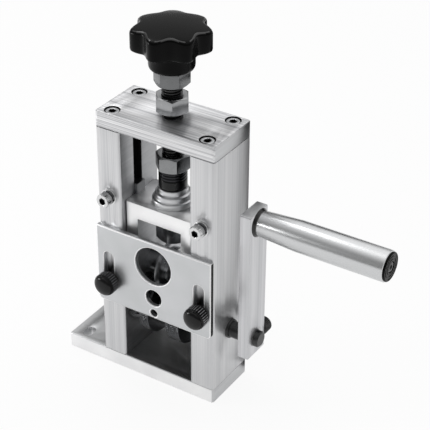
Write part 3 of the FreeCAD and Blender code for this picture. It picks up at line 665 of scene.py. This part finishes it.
def makeThread():
    low, high = boxOf("pressure_screw")
    outer = high.x
    pitch = threadShape["pitch"]
    inner = outer - threadShape["depth"] * pitch
    flank = (1 - threadShape["crest"] - threadShape["root"]) / 2
    heights = [0, threadShape["root"], threadShape["root"] + flank, 1 - flank, 1]
    bm = bmesh.new()
    points = [bm.verts.new((radius, 0, low.z + pitch * (height - 2)))
              for radius, height in zip((inner, inner, outer, outer, inner), heights)]
    edges = [bm.edges.new(pair) for pair in zip(points, points[1:])]
    bmesh.ops.spin(bm, geom=points + edges, cent=(0, 0, 0), axis=(0, 0, 1), angle=math.tau,
                   steps=threadShape["steps"], dvec=(0, 0, pitch / threadShape["steps"]))
    oneTurn = bm.verts[:] + bm.edges[:] + bm.faces[:]
    for turn in range(1, math.ceil((high.z - low.z) / pitch) + 3):
        copied = bmesh.ops.duplicate(bm, geom=oneTurn)["geom"]
        copiedVerts = [part for part in copied if isinstance(part, bmesh.types.BMVert)]
        bmesh.ops.translate(bm, vec=(0, 0, pitch * turn), verts=copiedVerts)
    bmesh.ops.remove_doubles(bm, verts=bm.verts, dist=0.002)
    for height, direction in ((low.z, -1), (high.z, 1)):
        bmesh.ops.bisect_plane(bm, geom=bm.verts[:] + bm.edges[:] + bm.faces[:], plane_co=(0, 0, height),
                               plane_no=(0, 0, direction), clear_outer=True)
    bmesh.ops.holes_fill(bm, edges=[edge for edge in bm.edges if edge.is_boundary])
    bmesh.ops.recalc_face_normals(bm, faces=bm.faces)
    addPiece("pressureScrew", bm, "screw", "rod", ["pressure_screw"], 28)


# each nut's turn in degrees and its finish; the jam nut is painted darker as shade and the lock nut paler as
# light
nutShape = {"flats": 18.0, "bore": 5.4, "face": 8.6, "chamferAngle": 30, "edge": 0.22, "steps": 96,
            "nuts": {"jam_nut": (-34.5, "darkNut"), "lock_nut": (4.0, "litNut"),
                     "lower_nut": (16.0, "nut"), "foot_nut": (-17.4, "nut")}}


def makeNuts():
    for node, (turn, finishName) in nutShape["nuts"].items():
        low, high = boxOf(node)
        height = high.z - low.z
        side, face = nutShape["flats"] / 2, nutShape["face"]
        bm = lathe([(nutShape["bore"], 0), (face, 0), (side, 0), (side, height), (face, height),
                    (nutShape["bore"], height)], nutShape["steps"], closed=True)
        for vert in bm.verts:
            if reachOf(vert.co) > side - near:
                reach = hexReach(vert, nutShape["flats"])
                drop = (reach - face) * math.tan(math.radians(nutShape["chamferAngle"]))
                vert.co.z += drop if vert.co.z < height / 2 else -drop
                setRadius(vert, reach)
        soften(bm, nutShape["edge"], sharperThan=25)
        bmesh.ops.rotate(bm, verts=bm.verts, matrix=Matrix.Rotation(math.radians(turn + 30), 3, "Z"))
        standAt(bm, low.z)
        addPiece(pieceName(node), bm, "screw", finishName, [node], 28)


makeThread()
makeNuts()
print("knob, thread and nuts made")


# socket head screws

# how far past its hexagon the painted shade of a socket reaches, and how far the hexagon is turned
socketShadeReach = 0.25
socketTurn = 12
capScrews = {"headRadius": 4.25, "headHeight": 5.0, "flats": 4.0, "socketDepth": 2.6, "shankRadius": 2.5,
             "teeth": 26, "toothDepth": 0.4, "edge": 0.35}
clampScrew = {"headRadius": 5.0, "headHeight": 7.0, "flats": 5.0, "socketDepth": 3.0, "shankRadius": 2.9,
              "teeth": 32, "toothDepth": 0.3, "edge": 0.5}


def socketScrew(values, shankLength):
    # head on the plane at height 0, shank below it; the head's edges are rounded in steps
    radius, height = values["headRadius"], values["headHeight"]
    socket = values["flats"] / 2
    edge = values["edge"]
    bottom = height - values["socketDepth"]
    bm = lathe([(0, -shankLength), (values["shankRadius"], -shankLength), (values["shankRadius"], 0),
                (radius - edge, 0), (radius, edge), (radius, height - edge * 1.6),
                (radius - edge, height - edge * 0.4), (radius - edge * 2.2, height), (socket * 1.25, height),
                (socket, height - 0.2), (socket, bottom), (0, bottom - socket * 0.4)], values["teeth"] * 6)
    for vert in bm.verts:
        if near < reachOf(vert.co) < socket + near and vert.co.z > bottom - near:
            setRadius(vert, hexReach(vert, values["flats"], socketTurn))
    knurl(bm, values["teeth"], values["toothDepth"], radius, edge, height - edge * 1.6)
    # faces in and just round the socket get painted shade
    for face in bm.faces:
        spot = face.calc_center_median()
        if reachOf(spot) < socket + socketShadeReach and 0 < spot.z < height - 0.05:
            face.material_index = secondFinish
    return bm


def addScrews(name, bm, body, material, replaced):
    # the second finish is painted shade inside the sockets
    addPiece(name, bm, body, material, replaced, others=["socket"])


def screwRow(values, length, direction, spots):
    # screws of one length whose heads stand on the spots
    screws = bmesh.new()
    for spot in spots:
        screw = socketScrew(values, length - values["headHeight"])
        placeAlong(screw, direction, spot)
        addTo(screws, screw)
    return screws


def makeCapScrews():
    radius, height = capScrews["headRadius"], capScrews["headHeight"]
    low, high = boxOf("front_cap_screws")
    spots = [(x, low.y + height, (low.z + high.z) / 2) for x in (low.x + radius, high.x - radius)]
    front = screwRow(capScrews, high.y - low.y, (0, -1, 0), spots)
    addScrews("frontCapScrews", front, "frame", "nickel", ["front_cap_screws"])
    low, high = boxOf("top_plate_screws")
    spots = [(x, y, high.z - height) for x in (low.x + radius, high.x - radius)
             for y in (low.y + radius, high.y - radius)]
    sunk = screwRow(capScrews, high.z - low.z, (0, 0, 1), spots)
    addScrews("bridgeScrews", sunk, "frame", "sunkScrewShade", ["top_plate_screws"])


# the spring washer is cut, with a gap in degrees, and rises from one end to the other
springWasher = {"outer": 4.3, "inner": 2.7, "gap": 14, "rise": 0.35, "steps": 60}
flatWasher = {"outer": 5.0, "inner": 2.7, "edge": 0.15, "steps": 64}


def makeFrontWashers():
    low, high = boxOf("front_spring_washers")
    height = (low.z + high.z) / 2
    springs = bmesh.new()
    flats = bmesh.new()
    flatLow, flatHigh = boxOf("front_flat_washers")
    thick = high.y - low.y - springWasher["rise"]
    for x in (low.x + springWasher["outer"], high.x - springWasher["outer"]):
        ring = bmesh.new()
        inner, outer = springWasher["inner"], springWasher["outer"]
        corners = [(inner, 0), (outer, 0), (outer, thick), (inner, thick)]
        section = ring.faces.new([ring.verts.new((radius, 0, z)) for radius, z in corners])
        bmesh.ops.spin(ring, geom=[section], cent=(0, 0, 0), axis=(0, 0, 1), steps=springWasher["steps"],
                       angle=math.tau - math.radians(springWasher["gap"]),
                       dvec=(0, 0, springWasher["rise"] / springWasher["steps"]))
        bmesh.ops.recalc_face_normals(ring, faces=ring.faces)
        placeAlong(ring, (0, -1, 0), (x, high.y, height))
        addTo(springs, ring)
        flat = flatRing(flatWasher["inner"], flatWasher["outer"], flatHigh.y - flatLow.y, flatWasher["steps"])
        soften(flat, flatWasher["edge"])
        placeAlong(flat, (0, -1, 0), (x, flatHigh.y, height))
        addTo(flats, flat)
    addPiece("frontSpringWashers", springs, "frame", "springSteel", ["front_spring_washers"])
    addPiece("frontFlatWashers", flats, "frame", "nickel", ["front_flat_washers"])


def makeClampScrew():
    low, high = boxOf("arm_clamp_screw")
    screw = socketScrew(clampScrew, high.y - low.y - clampScrew["headHeight"])
    middle = (low + high) / 2
    placeAlong(screw, (0, 1, 0), (middle.x, high.y - clampScrew["headHeight"], middle.z))
    addScrews("armClampScrew", screw, "crank", "blackScrew", ["arm_clamp_screw"])


makeCapScrews()
makeFrontWashers()
makeClampScrew()
print("socket screws made")


# thumb screws of the guide plate

# foot and head are points of the rim, out from its radius and up from the head's foot or top; the lip's
# points are out from the domed face's edge and up from the head's top
thumbShape = {"radius": 7.0, "height": 7.0, "dome": 2.2, "face": 6.0, "teeth": 28, "toothDepth": 0.9,
              "endShare": 0.6, "shankRadius": 3.0, "crest": 0.25, "foot": [(-1.0, 0), (-0.25, 0.5), (0, 1.0)],
              "head": [(0, -1.3), (-0.35, -0.5)], "lip": [(0.3, 0), (0, -0.12), (-0.02, 0.1)],
              "domeSteps": 9}


def makeThumbScrews():
    radius, height, faceRadius = thumbShape["radius"], thumbShape["height"], thumbShape["face"]
    teeth, depth = thumbShape["teeth"], thumbShape["toothDepth"]
    foot, head = thumbShape["foot"], thumbShape["head"]
    for side in ("left", "right"):
        low, high = boxOf(side + "_thumb_screw")
        shank = high.y - low.y - height - thumbShape["dome"]
        profile = [(0, -shank), (thumbShape["shankRadius"], -shank), (thumbShape["shankRadius"], 0)]
        profile += [(radius + out, up) for out, up in foot]
        profile += [(radius + out, height + up) for out, up in head]
        profile += [(faceRadius + out, height + up) for out, up in thumbShape["lip"]]
        for step in range(1, thumbShape["domeSteps"] + 1):
            angle = math.radians(90) * step / thumbShape["domeSteps"]
            profile.append((faceRadius * math.cos(angle), height + thumbShape["dome"] * math.sin(angle)))
        bm = lathe(profile, teeth * 6)
        knurl(bm, teeth, depth, radius, foot[2][1], height + head[0][1])
        endDepth = depth * thumbShape["endShare"]
        knurl(bm, teeth, endDepth, radius + head[1][0], height + head[1][1], height)
        knurl(bm, teeth, endDepth, radius + foot[1][0], foot[1][1], foot[1][1])
        # the knurl crests are rubbed bare, and painted paler as highlights along the ridges
        for face in bm.faces:
            spot = face.calc_center_median()
            onCrest = reachOf(spot) > radius - thumbShape["crest"]
            if onCrest and foot[1][1] < spot.z < height:
                face.material_index = secondFinish
        middle = (low + high) / 2
        placeAlong(bm, (0, -1, 0), (middle.x, low.y + height + thumbShape["dome"], middle.z))
        addPiece(side + "ThumbScrew", bm, side + "_thumb", "thumb", [side + "_thumb_screw"],
                 40, ["crest"])


makeThumbScrews()
print("thumb screws made")


# grip and its end

gripShape = {"smallRadius": 7.6, "taper": 24.0, "innerEdge": 0.8, "outerEdge": 0.5, "bore": 5.6,
             "mouth": 8.2, "mouthDepth": 4.6, "steps": 128}
capShape = {"radius": 8.5, "plug": 8.1, "hole": 2.2, "edge": 0.4, "soft": 0.12,
            "grooves": (7.3, 5.4), "grooveWidth": 0.7, "grooveDepth": 0.5, "recess": 3.6,
            "recessDepth": 1.6, "steps": 96}
capScrew = {"headRadius": 2.9, "headHeight": 2.2, "flats": 2.5, "socketDepth": 1.4, "shankRadius": 2.0,
            "teeth": 24, "toothDepth": 0.12, "edge": 0.25}


def makeGrip():
    low, high = boxOf("grip_tube")
    length = high.x - low.x
    radius = (high.z - low.z) / 2
    middle = ((low + high) / 2).z
    small, inner, outer = gripShape["smallRadius"], gripShape["innerEdge"], gripShape["outerEdge"]
    bore, mouth, seat = gripShape["bore"], gripShape["mouth"], length - gripShape["mouthDepth"]
    bm = lathe([(bore, 0), (small - inner, 0), (small - inner * 0.3, inner * 0.3), (small, inner),
                (radius, gripShape["taper"]), (radius, length - outer),
                (radius - outer * 0.3, length - outer * 0.3), (radius - outer, length),
                (mouth, length), (mouth, seat), (bore, seat)], gripShape["steps"], closed=True)
    placeAlong(bm, (1, 0, 0), (low.x, 0, middle))
    addPiece("gripTube", bm, "grip", "grip", ["grip_tube"])


def makeEndCap():
    low, high = boxOf("end_cap")
    middle = ((low + high) / 2).z
    length = high.x - low.x
    lip = length - (high.x - boxOf("grip_tube")[1].x)
    radius, plug, hole, edge = capShape["radius"], capShape["plug"], capShape["hole"], capShape["edge"]
    profile = [(hole, 0), (plug, 0), (plug, lip), (radius, lip), (radius, length - edge),
               (radius - edge, length)]
    for groove in capShape["grooves"]:
        inner = groove - capShape["grooveWidth"]
        bottom = length - capShape["grooveDepth"]
        profile += [(groove, length), (groove, bottom), (inner, bottom), (inner, length)]
    floor = length - capShape["recessDepth"]
    profile += [(capShape["recess"], length), (capShape["recess"], floor), (hole, floor)]
    bm = lathe(profile, capShape["steps"], closed=True)
    soften(bm, capShape["soft"])
    placeAlong(bm, (1, 0, 0), (low.x, 0, middle))
    addPiece("endCap", bm, "grip", "knob", ["end_cap"])
    low, high = boxOf("end_cap_screw")
    screw = socketScrew(capScrew, high.x - low.x - capScrew["headHeight"])
    placeAlong(screw, (1, 0, 0), (high.x - capScrew["headHeight"], 0, middle))
    addScrews("endCapScrew", screw, "crank", "blackScrew", ["end_cap_screw"])


makeGrip()
makeEndCap()
print("grip made")


# bush and washers under the pressure screw

# the bush has three steps of one height, with a slope between them that is a share of it
bushShape = {"flange": 12.3, "middle": 10.7, "neck": 8.8, "bore": 6.3, "spigot": 8.0, "slope": 0.15,
             "edge": 0.55, "steps": 112}
washerShape = {"radius": 8.4, "bore": 6.3, "gap": 0.16, "edge": 0.45, "count": 3, "bulge": 2.0}


def makeBush():
    low, high = boxOf("flanged_bush")
    top = high.z - boxOf("sliding_block")[1].z
    foot = low.z - high.z + top
    step = top / 3
    flange, middle, neck = bushShape["flange"], bushShape["middle"], bushShape["neck"]
    bore, spigot, slope = bushShape["bore"], bushShape["spigot"], bushShape["slope"]
    bm = lathe([(bore, foot), (spigot, foot), (spigot, 0), (flange, 0), (flange, step),
                (middle, step * (1 + slope)), (middle, step * 2), (neck, step * (2 + slope)), (neck, top),
                (bore, top)], bushShape["steps"], closed=True)
    soften(bm, bushShape["edge"], segments=4)
    standAt(bm, high.z - top)
    addPiece("flangedBush", bm, "carriage", "bush", ["flanged_bush"])


def makeStack():
    bore, radius = washerShape["bore"], washerShape["radius"]
    low, high = boxOf("stack_ring")
    ring = flatRing(bore, radius, high.z - low.z)
    soften(ring, washerShape["bulge"], segments=8)
    standAt(ring, low.z)
    addPiece("stackRing", ring, "screw", "rubber", ["stack_ring"])
    low, high = boxOf("stack_washers")
    thick = (high.z - low.z) / washerShape["count"]
    washers = bmesh.new()
    for number in range(washerShape["count"]):
        washer = flatRing(bore, radius, thick - washerShape["gap"])
        soften(washer, washerShape["edge"], segments=3)
        standAt(washer, low.z + number * thick)
        addTo(washers, washer)
    addPiece("stackWashers", washers, "screw", "washer", ["stack_washers"])


makeBush()
makeStack()
print("bush and washers made")


# drive roller and the wheels beside it

# rowGap is the distance in mm between the rows of points that the leaning grooves are cut into
rollerShape = {"teeth": 48, "toothDepth": 0.4, "rowGap": 0.32, "lean": 1.1, "bore": 5.1, "edge": 0.6}
wheelShape = {"teeth": 72, "toothDepth": 0.5, "rowGap": 0.32, "lean": 1.2, "rim": 9.35, "hub": 9.0,
              "bore": 5.1, "edge": 0.5}


def rimRows(radius, start, end, rowGap):
    rows = round((end - start) / rowGap)
    return [(radius, start + (end - start) * row / rows) for row in range(rows + 1)]


def crossKnurl(bm, values, radius):
    # cuts two sets of leaning grooves that cross, into the vertices at a radius
    for vert in bm.verts:
        reach = reachOf(vert.co)
        if abs(reach - radius) < near:
            turn = values["teeth"] / 2 * math.atan2(vert.co.y, vert.co.x)
            lean = values["lean"] * math.pi * vert.co.z
            cut = max(abs(math.cos(turn + lean)), abs(math.cos(turn - lean)))
            setRadius(vert, reach - values["toothDepth"] * (cut ** 4))


def makeDriveRound(node, values, rim, tail):
    # a knurled round on the drive shaft, with what follows its rim
    low, high = boxOf(node)
    radius = (high.y - low.y) / 2
    edge = values["edge"]
    profile = [(values["bore"], 0), (radius - edge, 0)]
    profile += rimRows(radius, edge, rim - edge, values["rowGap"])
    profile += [(radius - edge, rim)] + tail
    bm = lathe(profile, values["teeth"] * 4, closed=True)
    crossKnurl(bm, values, radius)
    placeAlong(bm, (1, 0, 0), (low.x, 0, ((low + high) / 2).z))
    addPiece(pieceName(node), bm, "crank", "driveSteel", [node], 45)


def lengthOf(node):
    low, high = boxOf(node)
    return high.x - low.x


def makeDrive():
    for node, values in (("drive_roller", rollerShape), ("left_wheel", wheelShape)):
        length = lengthOf(node)
        makeDriveRound(node, values, length, [(values["bore"], length)])
    rim, hub, edge = wheelShape["rim"], wheelShape["hub"], wheelShape["edge"]
    length = lengthOf("right_wheel")
    makeDriveRound("right_wheel", wheelShape, rim, [(hub, rim), (hub, length - edge), (hub - edge, length),
                                                    (wheelShape["bore"], length)])


makeDrive()
print("drive made")


# CAD nodes that keep their shape

nodeFinish = {
    "base_screws": "nickel", "bearing_outer_rings": "bearing", "outer_bush": "hardSteel",
    "left_thumb_washer": "blackScrew", "right_thumb_washer": "blackScrew", "left_key": "key",
    "right_key": "key", "key_screws": "nickel", "disc_axle": "turnedX", "axle_rings": "turnedX",
    "left_spacer": "turnedX", "right_spacer": "turnedX", "cutting_disc": "blade", "disc_hub": "turnedX",
    "hub_bush": "bronze", "drive_shaft": "hardSteel", "roller_key": "hardSteel",
    "wheel_grub_screw": "blackScrew", "shaft_spacers": "shaftSteel", "bearing_inner_rings": "bearing",
    "handle_spindle": "spindle", "handle_washer": "blackScrew", "grip_bushes": "bronze",
}
for node, finishName in nodeFinish.items():
    nodes[node].data.materials.clear()
    nodes[node].data.materials.append(finish[finishName])
print("CAD nodes finished:", len(nodeFinish))

# the arm and handle aren't mirrored in the upright beside them, which would look darker than it is
notMirrored = [bpy.data.objects[name] for name in ("crankArm", "gripTube", "endCap", "endCapScrew")]
notMirrored += [nodes[node] for node in ("handle_spindle", "handle_washer", "grip_bushes")]
for piece in notMirrored:
    piece.visible_glossy = False


# studio

# cameraWhite and glossyWhite are the shares of plain white that the camera and reflections see
floorLook = {"size": 60.0, "colour": "#f4f4f4", "cameraWhite": 0.9, "glossyWhite": 0.6}
# shades by height, with the whole sky tilted so that it is brighter behind the object
skyTilt = (0.0, 0.3, 1.0)
skyStrength = 1.2
skyShades = {0.1: "#848484", 0.34: "#898989", 0.54: "#acacac", 0.7: "#cfcfcf", 0.85: "#ededed",
             0.93: "#ffffff"}
skyCamera = "#fbfbfb"
lamps = {"key": {"direction": (-0.453, 0.085, 0.888), "aim": (0.0, 0.0, 0.1), "distance": 1.2, "width": 0.5,
                 "height": 0.5, "power": 1.9},
         "side": {"direction": (-0.86, -0.5, 0.05), "aim": (0.0, 0.0, 0.2), "distance": 0.7, "width": 0.22,
                  "height": 0.12, "power": 1.4}}
# dark cards that only reflections see, which put painted shade into the reflections: one over the back for
# the top of the base, one behind the lower opening for the faces inside it, and one at the back edge of the
# right side
cards = {"overhead": {"colour": "#3c3c3c", "low": (-0.17, 0.06, 0.162), "high": (0.1, 0.6, 0.162)},
         "opening": {"colour": "#2c2c2c", "low": (-0.0233, 0.0196, 0.0105), "high": (0.0233, 0.0196, 0.062)},
         "side": {"colour": "#4a4a4a", "low": (0.041, 0.022, 0.001), "high": (0.049, 0.022, 0.19)}}
# the spot is in mm and the angles in degrees
cameraView = {"spot": (393.8, -578.4, 547.2), "azimuth": 32.27, "elevation": 31.99, "roll": 0.41,
              "lens": 118.55, "sensor": 36.0}


def makeFloor():
    bm = bmesh.new()
    bmesh.ops.create_grid(bm, x_segments=1, y_segments=1, size=floorLook["size"] / 2)
    floor = addMesh("floor", bm)
    material, tree = startMaterial("pale studio floor")
    matte = addNode(tree, "ShaderNodeBsdfDiffuse", {"Color": toLinear(floorLook["colour"])})
    glow = addNode(tree, "ShaderNodeEmission", {"Color": toLinear("#ffffff"), "Strength": 1.0})
    rays = addNode(tree, "ShaderNodeLightPath")
    seen = addNode(tree, "ShaderNodeMath", {0: rays.outputs["Is Camera Ray"], 1: floorLook["cameraWhite"]},
                   operation="MULTIPLY")
    share = addNode(tree, "ShaderNodeMath", {0: rays.outputs["Is Glossy Ray"], 1: floorLook["glossyWhite"],
                                             2: seen.outputs["Value"]}, operation="MULTIPLY_ADD")
    mixed = addNode(tree, "ShaderNodeMixShader", {"Fac": share.outputs["Value"], 1: matte.outputs["BSDF"],
                                                  2: glow.outputs["Emission"]})
    addNode(tree, "ShaderNodeOutputMaterial", {"Surface": mixed.outputs["Shader"]})
    floor.data.materials.append(material)


def makeSky():
    # grey at the horizon and white overhead, with a plain pale backdrop for the camera
    world = bpy.data.worlds.new("studio sky")
    world.use_nodes = True
    tree = world.node_tree
    tree.nodes.clear()
    direction = addNode(tree, "ShaderNodeTexCoord").outputs["Generated"]
    height = addNode(tree, "ShaderNodeVectorMath", {0: direction, 1: skyTilt}, operation="DOT_PRODUCT")
    ramp = addNode(tree, "ShaderNodeValToRGB", {"Fac": height.outputs["Value"]})
    while len(ramp.color_ramp.elements) < len(skyShades):
        ramp.color_ramp.elements.new(0.5)
    for element, (level, shadeText) in zip(ramp.color_ramp.elements, skyShades.items()):
        element.position = level
        element.color = toLinear(shadeText)
    rays = addNode(tree, "ShaderNodeLightPath")
    sky = addNode(tree, "ShaderNodeBackground", {"Color": ramp.outputs["Color"], "Strength": skyStrength})
    backdrop = addNode(tree, "ShaderNodeBackground", {"Color": toLinear(skyCamera), "Strength": 1.0})
    mixed = addNode(tree, "ShaderNodeMixShader", {"Fac": rays.outputs["Is Camera Ray"],
                                                  1: sky.outputs["Background"],
                                                  2: backdrop.outputs["Background"]})
    addNode(tree, "ShaderNodeOutputWorld", {"Surface": mixed.outputs["Shader"]})
    bpy.context.scene.world = world


def makeCards():
    for name, values in cards.items():
        bm = bmesh.new()
        low, high = values["low"], values["high"]
        corners = (low, (high[0], low[1], low[2]), high, (low[0], high[1], high[2]))
        bm.faces.new([bm.verts.new(corner) for corner in corners])
        card = addMesh(name + "Card", bm)
        material, tree = startMaterial(name + " studio card")
        matte = addNode(tree, "ShaderNodeBsdfDiffuse", {"Color": toLinear(values["colour"])})
        addNode(tree, "ShaderNodeOutputMaterial", {"Surface": matte.outputs["BSDF"]})
        card.data.materials.append(material)
        card.visible_camera = False
        card.visible_diffuse = False
        card.visible_shadow = False


def makeLamps():
    for name, values in lamps.items():
        lamp = bpy.data.lights.new(name, "AREA")
        lamp.shape = "RECTANGLE"
        lamp.size = values["width"]
        lamp.size_y = values["height"]
        lamp.energy = values["power"]
        holder = addObject(name, lamp)
        direction = Vector(values["direction"]).normalized()
        holder.location = Vector(values["aim"]) + direction * values["distance"]
        holder.rotation_euler = (-direction).to_track_quat("-Z", "Y").to_euler()
        holder.visible_camera = False


def makeCamera():
    lens = bpy.data.cameras.new("camera")
    lens.lens = cameraView["lens"]
    lens.sensor_width = cameraView["sensor"]
    camera = addObject("camera", lens)
    turn = Matrix.Rotation(math.radians(cameraView["azimuth"]), 4, "Z")
    tilt = Matrix.Rotation(math.radians(90 - cameraView["elevation"]), 4, "X")
    roll = Matrix.Rotation(math.radians(cameraView["roll"]), 4, "Z")
    spot = Matrix.Translation(Vector(cameraView["spot"]) * mm)
    camera.matrix_world = spot @ turn @ tilt @ roll
    bpy.context.scene.camera = camera


makeFloor()
makeSky()
makeCards()
makeLamps()
makeCamera()
bpy.context.scene.view_settings.view_transform = "Standard"
print("studio ready")
